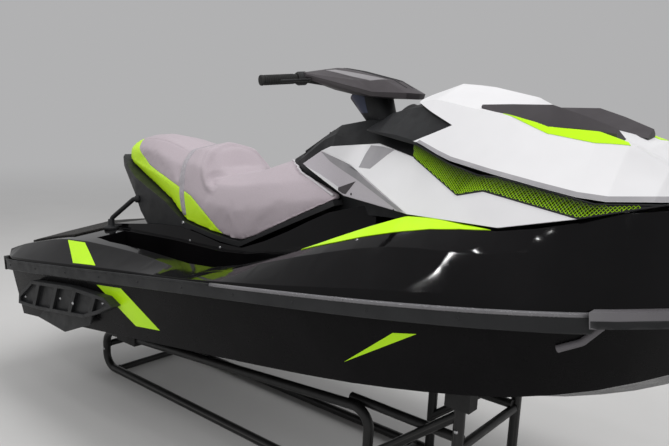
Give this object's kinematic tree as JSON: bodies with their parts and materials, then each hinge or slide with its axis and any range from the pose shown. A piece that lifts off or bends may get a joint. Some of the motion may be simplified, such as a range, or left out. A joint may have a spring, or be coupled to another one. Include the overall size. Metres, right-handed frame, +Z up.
{
  "type": "personal watercraft on floor stand",
  "caption": "Three-seat jet-driven personal watercraft on a tube floor stand, with turning handlebar, jet nozzle, reverse gate, impeller, bow hood and glovebox lid.",
  "frame": {"origin": "on the floor under the middle of the length, on the centre plane", "axes": "+X towards the bow, +Y to port, +Z up; the craft sits 7.6 degrees bow up on its stand"},
  "size_m": [3.3452, 1.268, 1.5528],
  "materials": {
    "gloss_black": "high gloss gelcoat",
    "white_panel": "gloss moulded",
    "lime_mesh": "satin, open mesh",
    "silver_panel": "satin",
    "dark_plastic": "grained moulded",
    "bumper_grey": "grained moulded",
    "seat_vinyl": "grained vinyl",
    "rubber": "matte",
    "mat_grey": "ribbed",
    "alloy": "cast, bead blasted",
    "steel_bright": "brushed",
    "frame_black": "powder coat"
  },
  "bodies": {
    "craft": {"bow_bin": "dark_plastic", "bow_bumper": "bumper_grey", "bow_eye": "steel_bright", "console": "dark_plastic", "corner_caps": "rubber", "deck": "gloss_black", "engine": "alloy", "footwell_mats": "mat_grey", "gauge": "dark_plastic", "grab_handle": "dark_plastic", "hood_hinge": "steel_bright", "hull": "gloss_black", "intake_grate": "alloy", "knee_panel_port": "silver_panel", "knee_panel_starboard": "silver_panel", "mesh_panel_port": "lime_mesh", "mesh_panel_starboard": "lime_mesh", "platform_mat": "mat_grey", "pump_housing": "alloy", "ride_plate": "alloy", "rub_rails": "dark_plastic", "seat_base": "dark_plastic", "seat_cushion": "seat_vinyl", "side_panel_port": "white_panel", "side_panel_starboard": "white_panel", "sponsons": "dark_plastic", "stand_crossbars": "frame_black", "stand_pads": "rubber", "stand_port": "frame_black", "stand_starboard": "frame_black", "stern_eyes": "steel_bright"},
    "steering": {"handlebar": "steel_bright", "grips": "rubber", "bar_cover": "dark_plastic", "steering_stem": "dark_plastic", "levers": "alloy"},
    "nozzle_body": {"nozzle": "alloy"},
    "gate_body": {"reverse_gate": "dark_plastic"},
    "impeller_body": {"impeller": "steel_bright"},
    "hood_body": {"hood": "white_panel", "mirror_pods": "dark_plastic"},
    "lid_body": {"glovebox_lid": "dark_plastic"}
  },
  "joints": [
    {"name": "handlebar_turn", "type": "hinge", "parent": "craft", "child": "steering", "pos_m": [0.21332, 0, 1.38766], "axis": [-0.524, 0, 0.8517], "range_deg": [-20, 20]},
    {"name": "nozzle_turn", "type": "hinge", "parent": "craft", "child": "nozzle_body", "pos_m": [-1.42547, 0, 0.27918], "axis": [-0.1323, 0, 0.9912], "range_deg": [-20, 20]},
    {"name": "gate_swing", "type": "hinge", "parent": "craft", "child": "gate_body", "pos_m": [-1.37789, 0, 0.28553], "axis": [0, -1, 0], "range_deg": [0, 86]},
    {"name": "impeller_spin", "type": "hinge", "parent": "craft", "child": "impeller_body", "pos_m": [-1.14198, 0, 0.317], "axis": [0.9912, 0, 0.1323], "continuous": true},
    {"name": "hood_open", "type": "hinge", "parent": "craft", "child": "hood_body", "pos_m": [1.35305, 0, 1.23102], "axis": [0, 1, 0], "range_deg": [0, 48]},
    {"name": "glovebox_open", "type": "hinge", "parent": "craft", "child": "lid_body", "pos_m": [0.03345, 0, 1.30667], "axis": [0, 1, 0], "range_deg": [0, 60]}
  ],
  "couplings": [
    {"joint": "nozzle_turn", "follows": "handlebar_turn", "ratio": -1}
  ]
}
